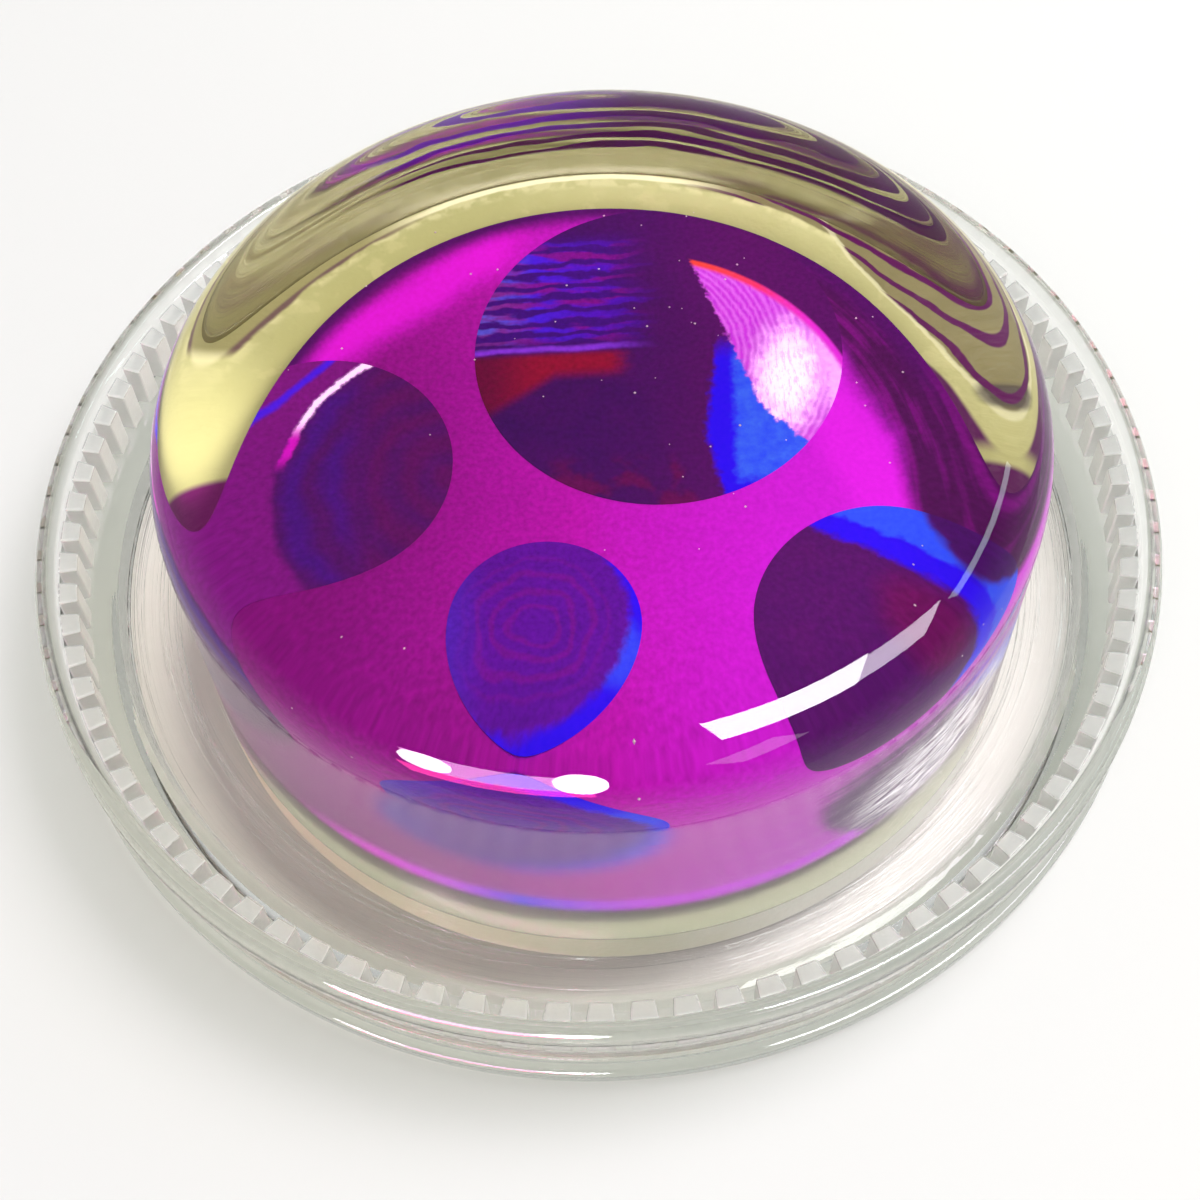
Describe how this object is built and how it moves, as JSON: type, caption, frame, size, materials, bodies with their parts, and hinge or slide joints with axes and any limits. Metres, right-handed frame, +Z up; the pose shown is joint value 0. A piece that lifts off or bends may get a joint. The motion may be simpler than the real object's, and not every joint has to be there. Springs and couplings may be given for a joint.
{
  "type": "foil puck in dish",
  "caption": "Thick clear cast puck on a milky base layer, with a rounded top edge and a magenta foil disc with holographic dots inside, loose in a shallow clear dish with a toothed rim.",
  "frame": {"origin": "middle of the dish's foot, on the surface it stands on", "axes": "+Z up along the dish's axis; +X right and +Y back, seen from the side that the puck stands nearer to"},
  "size_m": [0.07, 0.07, 0.0228],
  "materials": {
    "dish_plastic": "clear moulded plastic, frosted on the teeth",
    "cast_resin": "clear cast resin, slightly yellow, glossy",
    "base_resin": "milky cream cast resin, lets a little light through",
    "magenta_foil": "metallised film, satin magenta",
    "holo_dot": "metallised holographic film, dark purple with blue and red bands"
  },
  "bodies": {
    "dish": {"dish": "dish_plastic"},
    "puck": {"top_cast": "cast_resin", "base_cast": "base_resin", "foil_disc": "magenta_foil", "holo_dot_large": "holo_dot", "holo_dot_left": "holo_dot", "holo_dot_small": "holo_dot", "holo_dot_right": "holo_dot"}
  },
  "joints": [
    {"name": "puck_lift", "type": "slide", "parent": "dish", "child": "puck", "axis": [0, 0, 1], "range_m": [0, 0.03]}
  ]
}
